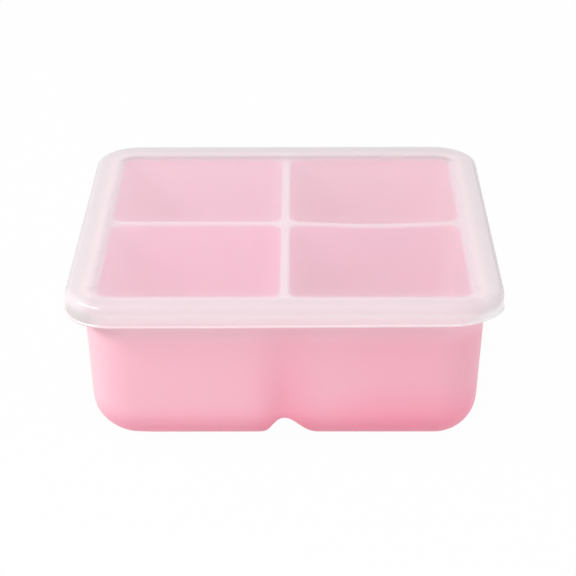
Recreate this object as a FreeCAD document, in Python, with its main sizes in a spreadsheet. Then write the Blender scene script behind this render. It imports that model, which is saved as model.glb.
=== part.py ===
import FreeCAD, Part
import math
import os

import Sketcher

# A freezer tray for portions of baby food: one soft moulding with four square cups, and a lid that
# rests on its collar and drops over its rim. Millimetres, +Z up. The origin is on the surface that the tray stands on,
# under the middle of the tray, and the tray's front faces -Y.

doc = FreeCAD.newDocument("baby_food_freezer_tray")

# Driving dimensions: name, value, what it is.
SIZES = [
    ("cup_mouth", 56.0, "side of a cup's square mouth"),
    ("cup_height", 48.0, "depth of a cup, from its mouth to its floor"),
    ("cup_corner_radius", 3.4, "upright corner of a cup at its mouth"),
    ("cup_foot_radius", 10.0, "upright corner of a cup at its floor"),
    ("cup_floor_rounding", 8.0, "rounding between a cup's walls and its floor"),
    ("cup_mouth_rounding", 0.8, "rounding of the edges around a cup's mouth and of the collar"),
    ("cup_floor", 2.8, "thickness of the floor under a cup"),
    ("divider", 3.2, "thickness of the dividers at the mouths of the cups"),
    ("outer_wall", 5.5, "thickness of the outer wall at the mouths of the cups"),
    ("wall_draft", 2.9, "lean of every wall, in degrees"),
    ("tray_corner_radius", 13.2, "upright corner of the outer wall, at the underside"),
    ("tray_foot_rounding", 13.0, "rounding between the outer wall and the underside"),
    ("collar_corner_radius", 9.5, "corner of the collar that stands above the rim"),
    ("rim_drop", 2.5, "how far the rim lies below the collar's top"),
    ("rim_reach", 3.0, "how far the rim stands out from the collar"),
    ("rim_thickness", 2.5, "thickness of the rim"),
    ("rim_corner_radius", 13.1, "corner of the rim seen from above"),
    ("rim_rounding", 0.7, "rounding of the rim's two outer edges"),
    ("channel_height", 9.3, "height of the cross-shaped channel under the tray"),
    ("channel_slope", 52.0, "slope of the channel's sides, in degrees"),
    ("channel_crown_radius", 3.4, "rounding along the top of the channel"),
    ("channel_foot_radius", 5.5, "rounding of the feet beside the channel"),
    ("groove_depth", 1.5, "depth of the groove in each outer wall, at the underside"),
    ("groove_fade", 0.2, "what is left of that depth under the rim"),
    ("groove_slope", 24.0, "slope of the groove's sides, in degrees"),
    ("groove_radius", 5.5, "rounding of the groove's bottom and of its two edges"),
    ("lid_plate", 1.8, "thickness of the lid's flat top"),
    ("lid_height", 7.5, "height of the lid, from its top to the end of its skirt"),
    ("lid_skirt", 1.6, "thickness of the lid's skirt"),
    ("lid_clearance", 0.3, "gap between the rim and the skirt, all round"),
    ("lid_top_rounding", 2.6, "rounding of the lid's top edge"),
    ("lip_reach", 0.2, "how far the lip stands out at the end of the skirt"),
    ("lip_height", 0.8, "height of that lip"),
]

sheet = doc.addObject("Spreadsheet::Sheet", "sizes")
for row, (alias, value, meaning) in enumerate(SIZES, start=1):
    sheet.set(f"A{row}", alias)
    sheet.set(f"B{row}", str(value))
    sheet.set(f"C{row}", meaning)
    sheet.setAlias(f"B{row}", alias)
doc.recompute()

# What follows from the driving dimensions, as expressions on the sheet.
LEAN = "tan(sizes.wall_draft)"
MOUTH_Z = "(sizes.cup_floor + sizes.cup_height)"
RIM_TOP_Z = f"({MOUTH_Z} - sizes.rim_drop)"
RIM_UNDERSIDE_Z = f"({RIM_TOP_Z} - sizes.rim_thickness)"
LID_TOP_Z = f"({MOUTH_Z} + sizes.lid_plate)"
SKIRT_END_Z = f"({LID_TOP_Z} - sizes.lid_height)"
CUP_NEAR = "(sizes.divider / 2)"
CUP_FAR = f"({CUP_NEAR} + sizes.cup_mouth)"
WALL_TOP = f"({CUP_FAR} + sizes.outer_wall)"
WALL_FOOT = f"({WALL_TOP} - {MOUTH_Z} * {LEAN})"
RIM_SIDE = f"({WALL_TOP} + sizes.rim_reach)"
SKIRT_INSIDE = f"({RIM_SIDE} + sizes.lid_clearance)"
SKIRT_INSIDE_RADIUS = "(sizes.rim_corner_radius + sizes.lid_clearance)"
SKIRT_OUTSIDE = f"({SKIRT_INSIDE} + sizes.lid_skirt)"
SKIRT_OUTSIDE_RADIUS = f"({SKIRT_INSIDE_RADIUS} + sizes.lid_skirt)"

UPRIGHT_AXIS, ORIGIN = range(-2, 0)  # a sketch's own upright axis and origin, as Sketcher numbers them
START, END, CENTRE = range(1, 4)  # points of a sketch element, as Sketcher numbers them
FULL_TURN = 360
OUTSIDE = 2.0  # how far a cutting profile reaches past the surface that it cuts
TOUCH = 1e-3  # two places closer than this are the same place
SPOTS = 4  # stretches between the points at which an edge is looked at


def number(expression):
    """The value of an expression on the sheet."""
    return float(sheet.evalExpression(expression))


def new_body(name):
    """A body whose label is the name of its file."""
    body = doc.addObject("PartDesign::Body", name)
    body.Label = name
    return body


def new_sketch(body, name, plane, lift="0"):
    """A sketch on one of the body's own origin planes, lifted off it by an expression."""
    sketch = body.newObject("Sketcher::SketchObject", name)
    support = next(f for f in body.Origin.OriginFeatures if f.Role == plane)
    sketch.AttachmentSupport = [(support, "")]
    sketch.MapMode = "FlatFace"
    sketch.setExpression("AttachmentOffset.Base.z", lift)
    return sketch


def bind(sketch, kind, references, expression):
    """A dimension in a sketch, bound to an expression on the sheet."""
    index = sketch.addConstraint(Sketcher.Constraint(kind, *references, number(expression)))
    sketch.setExpression(f"Constraints[{index}]", expression)


def arc(centre_x, centre_y, radius, start, end):
    """An arc between two angles in degrees, anticlockwise."""
    circle = Part.Circle(
        FreeCAD.Vector(centre_x, centre_y, 0), FreeCAD.Vector(0, 0, 1), radius
    )
    return Part.ArcOfCircle(circle, math.radians(start), math.radians(end))


def line(x1, y1, x2, y2):
    """A straight line between two points."""
    return Part.LineSegment(FreeCAD.Vector(x1, y1, 0), FreeCAD.Vector(x2, y2, 0))


def rounded_square(body, name, lift, near, far, radius):
    """A level square with round corners, from near to far along both X and Y.

    Without near, it is centred on the origin and reaches as far to the other side."""
    sketch = new_sketch(body, name, "XY_Plane", lift)
    high, round_by = number(far), number(radius)
    low = number(near) if near else -high
    a, b = low + round_by, high - round_by
    elements = [
        line(a, low, b, low),
        arc(b, a, round_by, -90, 0),
        line(high, a, high, b),
        arc(b, b, round_by, 0, 90),
        line(b, high, a, high),
        arc(a, b, round_by, 90, 180),
        line(low, b, low, a),
        arc(a, a, round_by, 180, 270),
    ]
    sketch.addGeometry(elements, False)
    count = len(elements)
    for i in range(count):
        sketch.addConstraint(Sketcher.Constraint("Tangent", i, END, (i + 1) % count, START))
    for flat, upright in ((0, 2), (4, 6)):
        sketch.addConstraint(Sketcher.Constraint("Horizontal", flat))
        sketch.addConstraint(Sketcher.Constraint("Vertical", upright))
    for corner in (3, 5, 7):
        sketch.addConstraint(Sketcher.Constraint("Equal", 1, corner))
    side = f"({far} - {near})" if near else f"(2 * {far})"
    bind(sketch, "DistanceX", (ORIGIN, START, 2, START), far)
    bind(sketch, "DistanceY", (ORIGIN, START, 4, START), far)
    bind(sketch, "DistanceX", (6, START, 2, START), side)
    bind(sketch, "DistanceY", (0, START, 4, START), side)
    bind(sketch, "Radius", (1,), radius)
    return sketch


def soft_notch(body, name, plane, lift, edge, depth, slope, crown, foot):
    """A notch about the sketch's upright axis, cut up from a level edge that lies below the
    origin by the expression edge (or through the origin without it). Its crown, its two sloping
    sides and the two roundings that lead out of the edge all run into each other smoothly."""
    sketch = new_sketch(body, name, plane, lift)
    base = -number(edge) if edge else 0.0
    angle = math.radians(number(slope))
    deep, r_crown, r_foot = number(depth), number(crown), number(foot)
    crown_x, crown_y = r_crown * math.sin(angle), deep - r_crown * (1 - math.cos(angle))
    foot_y = r_foot * (1 - math.cos(angle))
    foot_x = crown_x + (crown_y - foot_y) / math.tan(angle)
    side_x = foot_x + r_foot * math.sin(angle)
    turn = math.degrees(angle)
    elements = [
        arc(0, base + deep - r_crown, r_crown, 90 - turn, 90 + turn),
        line(-foot_x, base + foot_y, -crown_x, base + crown_y),
        arc(-side_x, base + r_foot, r_foot, -90, turn - 90),
        line(-side_x, base, -side_x, base - OUTSIDE),
        line(-side_x, base - OUTSIDE, side_x, base - OUTSIDE),
        line(side_x, base - OUTSIDE, side_x, base),
        arc(side_x, base + r_foot, r_foot, 270 - turn, 270),
        line(foot_x, base + foot_y, crown_x, base + crown_y),
    ]
    sketch.addGeometry(elements, False)
    smooth = [(0, END, 1, END), (1, START, 2, END), (6, START, 7, START), (7, END, 0, START)]
    for joint in smooth:
        sketch.addConstraint(Sketcher.Constraint("Tangent", *joint))
    sharp = [(2, START, 3, START), (3, END, 4, START), (4, END, 5, START), (5, END, 6, END)]
    for joint in sharp:
        sketch.addConstraint(Sketcher.Constraint("Coincident", *joint))
    sketch.addConstraint(Sketcher.Constraint("PointOnObject", 0, CENTRE, UPRIGHT_AXIS))
    sketch.addConstraint(Sketcher.Constraint("Vertical", 3))
    sketch.addConstraint(Sketcher.Constraint("Horizontal", 4))
    sketch.addConstraint(Sketcher.Constraint("Vertical", 5))
    for foot_arc, side in ((2, 3), (6, 5)):
        tip = START if side == 3 else END
        sketch.addConstraint(Sketcher.Constraint("Vertical", foot_arc, CENTRE, side, tip))
    sketch.addConstraint(Sketcher.Constraint("Equal", 2, 6))
    sketch.addConstraint(Sketcher.Constraint("Symmetric", 2, CENTRE, 6, CENTRE, UPRIGHT_AXIS))
    bind(sketch, "Radius", (0,), crown)
    bind(sketch, "Radius", (2,), foot)
    if edge:
        bind(sketch, "DistanceY", (3, START, ORIGIN, START), edge)
    else:
        sketch.addConstraint(Sketcher.Constraint("PointOnObject", 3, START, ORIGIN))
    bind(sketch, "DistanceY", (0, CENTRE, 2, CENTRE), f"({foot} + {crown} - {depth})")
    sketch.addConstraint(Sketcher.Constraint("DistanceY", 3, END, 3, START, OUTSIDE))
    leaning = sketch.addConstraint(Sketcher.Constraint("Angle", 1, angle))
    sketch.setExpression(f"Constraints[{leaning}]", slope)
    return sketch


def loft(body, kind, name, upper, lower):
    """A straight-sided loft from an upper sketch down to a lower one."""
    feature = body.newObject(f"PartDesign::{kind}", name)
    feature.Profile = upper
    feature.Sections = [lower]
    feature.Ruled = True
    feature.Refine = False
    return feature


def pad(body, name, sketch, length):
    """A pad straight up from a sketch."""
    feature = body.newObject("PartDesign::Pad", name)
    feature.Profile = sketch
    feature.setExpression("Length", length)
    return feature


def turned_copies(body, name, feature, copies, angle):
    """Copies of a feature, turned about the upright axis."""
    pattern = body.newObject("PartDesign::PolarPattern", name)
    pattern.Originals = [feature]
    upright = next(f for f in body.Origin.OriginFeatures if f.Role == "Z_Axis")
    pattern.Axis = (upright, [""])
    pattern.Angle = angle
    pattern.Occurrences = copies
    body.Tip = pattern
    return pattern


def rounding(body, name, radius, wanted):
    """A fillet on the edges of the body so far for which wanted(edge) is true."""
    doc.recompute()
    base = body.Tip
    edges = [f"Edge{i}" for i, e in enumerate(base.Shape.Edges, start=1) if wanted(e)]
    if not edges:
        raise ValueError(f"{name} finds no edge")
    feature = body.newObject("PartDesign::Fillet", name)
    feature.Base = (base, edges)
    feature.setExpression("Radius", radius)
    body.Tip = feature
    return feature


def points_on(edge):
    """Points spread evenly along an edge, its ends among them."""
    start, span = edge.FirstParameter, edge.LastParameter - edge.FirstParameter
    return [edge.valueAt(start + span * i / SPOTS) for i in range(SPOTS + 1)]


def level_at(height):
    """A test for edges that lie level at a height."""
    return lambda edge: all(abs(point.z - height) < TOUCH for point in points_on(edge))


def reach(edge):
    """How far an edge lies from the upright axis, along X or Y, whichever is more."""
    return max(max(abs(point.x), abs(point.y)) for point in points_on(edge))


def cut_checked(body, feature_before, feature_after):
    """Stops if a cut took nothing away."""
    doc.recompute()
    if not feature_after.Shape.Volume < feature_before.Shape.Volume:
        raise ValueError(f"{feature_after.Name} cuts nothing")


def make_tray():
    """The soft tray: drafted outside, four drafted cups, a collar that carries the lid with a rim
    around it, and a cross-shaped channel that leaves four feet under the cups."""
    tray = new_body("tray")

    foot_outline = rounded_square(
        tray, "tray_foot_outline", "0", None, WALL_FOOT, "sizes.tray_corner_radius"
    )
    block = pad(tray, "tray_block", foot_outline, MOUTH_Z)
    block.setExpression("TaperAngle", "sizes.wall_draft")
    rounding(tray, "tray_foot_edge", "sizes.tray_foot_rounding", level_at(0.0))

    collar_outline = rounded_square(
        tray, "collar_outline", RIM_UNDERSIDE_Z, None, WALL_TOP, "sizes.collar_corner_radius"
    )
    pad(tray, "collar", collar_outline, "sizes.rim_drop + sizes.rim_thickness")
    rim_outline = rounded_square(
        tray, "rim_outline", RIM_UNDERSIDE_Z, None, RIM_SIDE, "sizes.rim_corner_radius"
    )
    pad(tray, "rim_block", rim_outline, "sizes.rim_thickness")
    rounding(tray, "collar_edge", "sizes.cup_mouth_rounding", level_at(number(MOUTH_Z)))
    rim_heights = (number(RIM_UNDERSIDE_Z), number(RIM_TOP_Z))
    inner_limit = number(WALL_TOP) + TOUCH
    rim = rounding(
        tray,
        "rim_edges",
        "sizes.rim_rounding",
        lambda e: any(level_at(z)(e) for z in rim_heights) and reach(e) > inner_limit,
    )
    doc.recompute()

    cup_floor_outline = rounded_square(
        tray,
        "cup_floor_outline",
        "sizes.cup_floor",
        f"({CUP_NEAR} + sizes.cup_height * {LEAN})",
        f"({CUP_FAR} - sizes.cup_height * {LEAN})",
        "sizes.cup_foot_radius",
    )
    cup_mouth_outline = rounded_square(
        tray, "cup_mouth_outline", MOUTH_Z, CUP_NEAR, CUP_FAR, "sizes.cup_corner_radius"
    )
    cup = loft(tray, "SubtractiveLoft", "cup", cup_mouth_outline, cup_floor_outline)
    cut_checked(tray, rim, cup)
    cups = turned_copies(tray, "cups", cup, 4, FULL_TURN)
    cut_checked(tray, cup, cups)
    rounding(tray, "cup_floor_edges", "sizes.cup_floor_rounding", level_at(number("sizes.cup_floor")))
    mouth_limit = number(CUP_FAR) + TOUCH
    hollow = rounding(
        tray,
        "cup_mouth_edges",
        "sizes.cup_mouth_rounding",
        lambda e: level_at(number(MOUTH_Z))(e) and reach(e) < mouth_limit,
    )
    doc.recompute()

    channel_profile = soft_notch(
        tray,
        "channel_profile",
        "XZ_Plane",
        "0",
        None,
        "sizes.channel_height",
        "sizes.channel_slope",
        "sizes.channel_crown_radius",
        "sizes.channel_foot_radius",
    )
    channel = tray.newObject("PartDesign::Pocket", "channel")
    channel.Profile = channel_profile
    channel.Midplane = True
    channel.setExpression("Length", f"2 * {RIM_SIDE}")
    cut_checked(tray, hollow, channel)
    channels = turned_copies(tray, "channels", channel, 2, FULL_TURN / 4)
    cut_checked(tray, channel, channels)

    groove_foot = soft_notch(
        tray,
        "groove_foot",
        "XY_Plane",
        "0",
        WALL_FOOT,
        "sizes.groove_depth",
        "sizes.groove_slope",
        "sizes.groove_radius",
        "sizes.groove_radius",
    )
    groove_top = soft_notch(
        tray,
        "groove_top",
        "XY_Plane",
        RIM_UNDERSIDE_Z,
        f"({WALL_TOP} - (sizes.rim_drop + sizes.rim_thickness) * {LEAN})",
        "sizes.groove_fade",
        "(sizes.groove_slope * sizes.groove_fade / sizes.groove_depth)",
        "sizes.groove_radius",
        "sizes.groove_radius",
    )
    groove = loft(tray, "SubtractiveLoft", "groove", groove_top, groove_foot)
    cut_checked(tray, channels, groove)
    grooves = turned_copies(tray, "grooves", groove, 4, FULL_TURN)
    cut_checked(tray, groove, grooves)

    return tray


def make_lid():
    """The lid: a flat square top with a short skirt that hangs outside the tray's rim and ends
    in a thin lip. Its top rests on the collar."""
    lid = new_body("lid")

    lid_outline = rounded_square(
        lid, "lid_outline", SKIRT_END_Z, None, SKIRT_OUTSIDE, SKIRT_OUTSIDE_RADIUS
    )
    pad(lid, "lid_block", lid_outline, "sizes.lid_height")
    rounding(lid, "lid_top_edge", "sizes.lid_top_rounding", level_at(number(LID_TOP_Z)))

    lip_outline = rounded_square(
        lid,
        "lip_outline",
        SKIRT_END_Z,
        None,
        f"({SKIRT_OUTSIDE} + sizes.lip_reach)",
        f"({SKIRT_OUTSIDE_RADIUS} + sizes.lip_reach)",
    )
    lip = pad(lid, "lip", lip_outline, "sizes.lip_height")

    hollow_outline = rounded_square(
        lid, "lid_hollow_outline", SKIRT_END_Z, None, SKIRT_INSIDE, SKIRT_INSIDE_RADIUS
    )
    hollow = lid.newObject("PartDesign::Pocket", "lid_hollow")
    hollow.Profile = hollow_outline
    hollow.Reversed = True
    hollow.setExpression("Length", "sizes.lid_height - sizes.lid_plate")
    cut_checked(lid, lip, hollow)
    rounding(lid, "lid_inner_edge", "sizes.rim_rounding", level_at(number(MOUTH_Z)))
    return lid


def failed_objects():
    """The names of the objects that didn't compute."""
    return [o.Name for o in doc.Objects if "Invalid" in o.State or "Error" in o.State]


def write_parts(bodies):
    """Checks every object, then writes one file for each body."""
    doc.recompute()
    failed = failed_objects()
    if failed:
        raise ValueError(f"not computed: {failed}")
    for body in bodies:
        if body.Shape.isNull() or not body.Shape.isValid():
            raise ValueError(f"{body.Label} has no valid shape")
    os.makedirs("parts", exist_ok=True)
    for body in bodies:
        body.Shape.exportStep(f"parts/{body.Label}.step")
        box = body.Shape.BoundBox
        print(
            body.Label,
            "solids", len(body.Shape.Solids),
            "ml", round(body.Shape.Volume / 1000, 2),
            "x", round(box.XMin, 2), round(box.XMax, 2),
            "y", round(box.YMin, 2), round(box.YMax, 2),
            "z", round(box.ZMin, 2), round(box.ZMax, 2),
        )


write_parts([make_tray(), make_lid()])
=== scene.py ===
# %% [markdown]
# # A freezer tray for baby food
#
# The object is two pieces: a soft pink tray with four square cups, and a frosted lid that rests on
# the cups' flat edge and hangs down over the tray's rim. Their sizes are already settled in the
# engineering model, which is loaded first and never changed. Both pieces are then made again here
# as smooth meshes, with the soft roundings and small irregularities that a moulded silicone tray
# has, and given their materials.

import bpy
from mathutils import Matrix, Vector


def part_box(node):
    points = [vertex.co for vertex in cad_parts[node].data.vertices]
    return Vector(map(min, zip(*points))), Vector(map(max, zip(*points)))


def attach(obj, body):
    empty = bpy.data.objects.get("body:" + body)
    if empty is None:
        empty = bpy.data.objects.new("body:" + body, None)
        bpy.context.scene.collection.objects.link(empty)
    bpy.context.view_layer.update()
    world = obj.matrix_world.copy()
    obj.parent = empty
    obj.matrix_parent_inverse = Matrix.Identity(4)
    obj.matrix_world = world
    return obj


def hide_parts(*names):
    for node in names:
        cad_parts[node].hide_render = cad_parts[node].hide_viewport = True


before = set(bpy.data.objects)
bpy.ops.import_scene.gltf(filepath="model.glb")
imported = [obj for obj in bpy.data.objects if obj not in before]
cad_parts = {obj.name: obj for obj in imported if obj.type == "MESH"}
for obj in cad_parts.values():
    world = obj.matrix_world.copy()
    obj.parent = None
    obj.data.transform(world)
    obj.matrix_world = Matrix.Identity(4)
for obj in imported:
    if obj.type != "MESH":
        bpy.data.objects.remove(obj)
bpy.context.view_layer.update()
print("nodes:", sorted(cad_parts))

# %% [markdown]
# ## Helpers
#
# Lengths are easiest to think about in millimetres, so every shape is worked out in millimetres
# and turned to metres when its mesh is made. Neighbouring patches of a shape are made apart and
# share their border points, so the mesh maker joins points that lie at the same place.

# %% Meshes from points in millimetres
import math

import bmesh
import bpy
import numpy as np
from mathutils import Matrix, Vector

MM = 0.001
JOIN = 1e-3  # points closer than this, in millimetres, are one point


class Shape:
    """Points in millimetres and the faces between them, collected patch by patch."""

    def __init__(self):
        self.points, self.faces, self.known = [], [], {}
        self.in_cups = set()  # numbers of the points on the inner faces of cups

    def point(self, place):
        """The number of the point at a place, which is new if no patch has it yet."""
        key = tuple(int(round(c / JOIN)) for c in place)
        if key not in self.known:
            self.known[key] = len(self.points)
            self.points.append(tuple(float(c) for c in place))
        return self.known[key]

    def face(self, corners):
        """One face, unless its corners fall together."""
        corners = list(dict.fromkeys(corners))
        if len(corners) > 2:
            self.faces.append(corners)

    def strip(self, row_a, row_b, closed=False):
        """Faces between two rows with as many points each."""
        a = [self.point(p) for p in row_a]
        b = [self.point(p) for p in row_b]
        count = len(a)
        for i in range(count if closed else count - 1):
            j = (i + 1) % count
            self.face([a[i], a[j], b[j], b[i]])

    def cap(self, row):
        """One flat face inside a closed row."""
        self.face([self.point(p) for p in row])


def make_piece(name, shape, moved):
    """A mesh object from a shape. moved bends its points, as an array in millimetres."""
    places = moved(np.array(shape.points))
    mesh = bpy.data.meshes.new(name)
    mesh.from_pydata((places * MM).tolist(), [], shape.faces)
    net = bmesh.new()
    net.from_mesh(mesh)
    bmesh.ops.recalc_face_normals(net, faces=net.faces)
    net.to_mesh(mesh)
    net.free()
    mesh.shade_smooth()
    if shape.in_cups:
        share = np.zeros(len(places), np.float32)
        share[list(shape.in_cups)] = 1
        mesh.attributes.new("in_cup", "FLOAT", "POINT").data.foreach_set("value", share)
    piece = bpy.data.objects.new(name, mesh)
    bpy.context.scene.collection.objects.link(piece)
    return piece


def smoothstep(value, low, high):
    """0 below low, 1 above high, and a soft S between."""
    t = np.clip((np.asarray(value, float) - low) / (high - low), 0, 1)
    return t * t * (3 - 2 * t)


print("a soft S, a quarter of the way along:", float(smoothstep(0.25, 0, 1)))

# %% [markdown]
# ## The camera
#
# A long lens, about two thirds of a metre away, keeps the tray's sides nearly parallel. It looks
# down at 25 degrees, so that the cups, the lid's edge and the front all show. The camera is made
# first, because everything after it is judged through it.

# %% The camera
CAMERA_PLACE = Vector((0.0049, -0.5907, 0.3034))
LENS_MM, SENSOR_MM = 120.2, 36.0
DOWN, TURN, ROLL = 0.438, -0.007, -0.004  # radians
NEAREST_SHOWN, FARTHEST_SHOWN = 0.01, 20

ahead = Vector((math.sin(TURN) * math.cos(DOWN), math.cos(TURN) * math.cos(DOWN), -math.sin(DOWN)))
level = Vector((math.cos(TURN), -math.sin(TURN), 0))
above = level.cross(ahead)
right = math.cos(ROLL) * level + math.sin(ROLL) * above
up = math.cos(ROLL) * above - math.sin(ROLL) * level
facing = Matrix((right, up, -ahead)).transposed()

lens = bpy.data.cameras.new("shop_camera")
lens.lens, lens.sensor_width = LENS_MM, SENSOR_MM
lens.clip_start, lens.clip_end = NEAREST_SHOWN, FARTHEST_SHOWN
camera = bpy.data.objects.new("shop_camera", lens)
bpy.context.scene.collection.objects.link(camera)
camera.matrix_world = Matrix.Translation(CAMERA_PLACE) @ facing.to_4x4()
bpy.context.scene.camera = camera
print("camera", [round(c, 3) for c in CAMERA_PLACE], "mm lens", round(lens.lens, 1))

# %% [markdown]
# ## The tray's sizes
#
# The tray is one moulding of silicone. Its walls lean by 2.9 degrees so that it comes off the
# mould, and a frozen portion comes out of it. The cups are held in a collar, and 2.5 mm below
# their flat edge a thin rim stands out from it, which the lid's skirt hangs over. The outermost
# sizes are measured on the engineering model, and the others are those that it was drawn with.

# %% Sizes of the tray, in millimetres


def tenths(length):
    """A length in metres as millimetres, to the nearest tenth."""
    return round(length / MM, 1)


tray_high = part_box("tray")[1]  # the highest and outermost corner of the tray's box
MOUTH_Z, CUP_FLOOR_Z = tenths(tray_high.z), 2.8
CUP_NEAR, CUP_FAR = 1.6, 57.6  # the two sides of a cup's mouth, from the tray's middle
CUP_CORNER, CUP_FOOT_CORNER = 3.4, 10.0
CUP_FLOOR_ROUNDING, CUP_MOUTH_ROUNDING = 8.0, 0.8
LEAN_ANGLE = math.radians(2.9)
LEAN = math.tan(LEAN_ANGLE)
HALF_LEAN = math.tan((math.pi / 2 - LEAN_ANGLE) / 2)  # from a rounding's radius to where it ends
RIM_SIDE, RIM_CORNER, RIM_ROUNDING = tenths(tray_high.x), 13.1, 0.7
RIM_REACH, RIM_DROP, RIM_THICKNESS = 3.0, 2.5, 2.5  # out from the collar, and down from its top
RIM_TOP_Z = MOUTH_Z - RIM_DROP
RIM_UNDER_Z = RIM_TOP_Z - RIM_THICKNESS
COLLAR_CORNER, COLLAR_ROUNDING = 9.5, 0.8
WALL_TOP = RIM_SIDE - RIM_REACH
WALL_FOOT = WALL_TOP - MOUTH_Z * LEAN
FOOT_CORNER, FOOT_ROUNDING = 13.2, 13.0
CHANNEL_HEIGHT = 9.3
GROOVE_DEPTH, GROOVE_FADE, GROOVE_WIDTH = 1.5, 0.2, 4.6  # at the foot, under the rim, and across
print("rim, mm:", RIM_SIDE, "wall at the foot:", round(WALL_FOOT, 2), "flat edge:", MOUTH_Z)

# %% [markdown]
# ## Rows and columns
#
# A shape with round corners is easiest to skin with rows that all have the same number of
# points. Every row of a quarter of the tray starts on the tray's middle line, runs along one
# side, round the corner and back along the other side to the other middle line. Near the middle
# lines the points stand every millimetre, because the channel and the grooves are there.

# %% Rows of the outer skin
FINE = 14  # millimetres from a middle line in which the points stand 1 mm apart
SIDE_STEPS, CORNER_STEPS = 8, 10
FINE_STEPS = np.arange(FINE + 1.0)
SIDE_POINTS = len(FINE_STEPS) + SIDE_STEPS
COLUMNS = 2 * SIDE_POINTS + CORNER_STEPS - 1


def side_stations(length):
    """Distances from the middle line to the points along a side that ends at length."""
    return np.concatenate([FINE_STEPS, np.linspace(FINE, length, SIDE_STEPS + 1)[1:]])


def quarter_row(half, corner):
    """X and Y along a quarter of a rounded square: COLUMNS points."""
    flat = half - corner
    along = side_stations(flat)
    turn = np.linspace(0, math.pi / 2, CORNER_STEPS + 1)[1:-1]
    first = np.column_stack([np.full(SIDE_POINTS, half), along])
    bend = np.column_stack([flat + corner * np.cos(turn), flat + corner * np.sin(turn)])
    return np.vstack([first, bend, first[::-1, ::-1]])


def level_ring(ring, height):
    """A ring or row of X and Y, with one height."""
    return np.column_stack([ring, np.full(len(ring), height)])


print("columns in a quarter row:", COLUMNS, "=", len(quarter_row(WALL_TOP, FOOT_CORNER)))

# %% [markdown]
# The cups need rows of another kind. A cup's ring starts at the corner that is nearest to the
# tray's middle, and runs along a divider, then along the outer side with as many points as the
# outer skin has, and back along the other divider. Each ring can then be joined to the outer skin
# across the flat edge, point by point.

# %% Rings of a cup
DIVIDER_STEPS, HALF_BEND_STEPS = 16, 4
INNER_STEPS = DIVIDER_STEPS + 2 * HALF_BEND_STEPS  # from the nearest corner to the outer side


def bend(centre, radius, start, end, steps):
    """Points round a bend, without the first one. Angles in degrees."""
    turn = np.radians(np.linspace(start, end, steps + 1)[1:])
    return np.column_stack([centre[0] + radius * np.cos(turn), centre[1] + radius * np.sin(turn)])


def cup_ring(near, far, radius):
    """X and Y round a cup that lies between near and far, in a quarter of the tray."""
    low, high = near + radius, far - radius
    nearest = low + radius * math.cos(math.radians(225))
    divider = np.column_stack([
        np.linspace(low, high, DIVIDER_STEPS + 1)[1:],
        np.full(DIVIDER_STEPS, near),
    ])
    stations = side_stations(CUP_FAR)[HALF_BEND_STEPS:]
    shares = (stations - stations[0]) / (stations[-1] - stations[0])
    outer = np.column_stack([np.full(len(shares) - 1, far), low + (high - low) * shares[1:]])
    half_ring = np.vstack([
        [[nearest, nearest]],
        bend((low, low), radius, 225, 270, HALF_BEND_STEPS),
        divider,
        bend((high, low), radius, 270, 315, HALF_BEND_STEPS),
        bend((high, low), radius, 315, 360, HALF_BEND_STEPS),
        outer,
        bend((high, high), radius, 0, 45, CORNER_STEPS // 2),
    ])
    return np.vstack([half_ring, half_ring[-2:0:-1, ::-1]])


print("points round a cup:", len(cup_ring(CUP_NEAR, CUP_FAR, CUP_CORNER)))

# %% [markdown]
# ## The underside
#
# A cross-shaped channel runs under the dividers, so that the tray stands on four feet and its
# cups can be pushed out one at a time. Its sides flow into the feet. At the front it comes out
# a little lopsided: steeper on one side than on the other, as soft mouldings often do. Cutting
# the channel with a boolean would leave sharp edges. A height that falls off like a bell gives
# the soft section at once, so the underside is worked out as a height above the table.

# %% Height of the underside
CHANNEL_PROFILE = (6.1, 2.6)  # half width, and a power that is higher where the sides are steeper
FRONT_LEFT = (5.5, 2.75)  # the same where the channel opens at the front, left of the middle
FRONT_RIGHT = (7.9, 2.0)  # and right of it
CHANNEL_END = (FINE - 4, FINE)  # where the last of the profile is brought to nothing
FRONT_MOUTH = (30, 50)  # over which stretch the channel takes on its front profile


def channel_profile(across, width, power):
    """Height of the channel's roof at a distance from its middle."""
    height = CHANNEL_HEIGHT * np.exp(-((np.abs(across) / width) ** power))
    return height * (1 - smoothstep(np.abs(across), *CHANNEL_END))


def underside(x, y):
    """Height of the tray's underside above the surface that it stands on."""
    x, y = np.asarray(x, float), np.asarray(y, float)
    plain = channel_profile(x, *CHANNEL_PROFILE)
    front = np.where(x < 0, channel_profile(x, *FRONT_LEFT), channel_profile(x, *FRONT_RIGHT))
    lengthways = plain + (front - plain) * smoothstep(-y, *FRONT_MOUTH)
    crossways = channel_profile(y, *CHANNEL_PROFILE)
    return np.maximum(lengthways, crossways)


print("channel height in the middle, mm:", float(underside(0, 0)))

# %% [markdown]
# ## The skin of the tray
#
# Seen in section, the skin goes from a cup's flat floor up its wall to the flat edge, down the
# collar, out round the thin rim, down the wall and round the foot to the underside. Each stretch
# is a stack of rows, and the rows are joined in the order in which they are listed. Every edge
# gets a few rows of its own, so that it stays a small even rounding when the mesh is smoothed.

# %% The inside of a cup
FLOOR_STEPS, WALL_STEPS, EDGE_STEPS = 6, 9, 4
FLOOR_INSET, FLOOR_CORNER = 1.6, 2.0  # the floor's flat middle: how many roundings in, its corners


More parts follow.
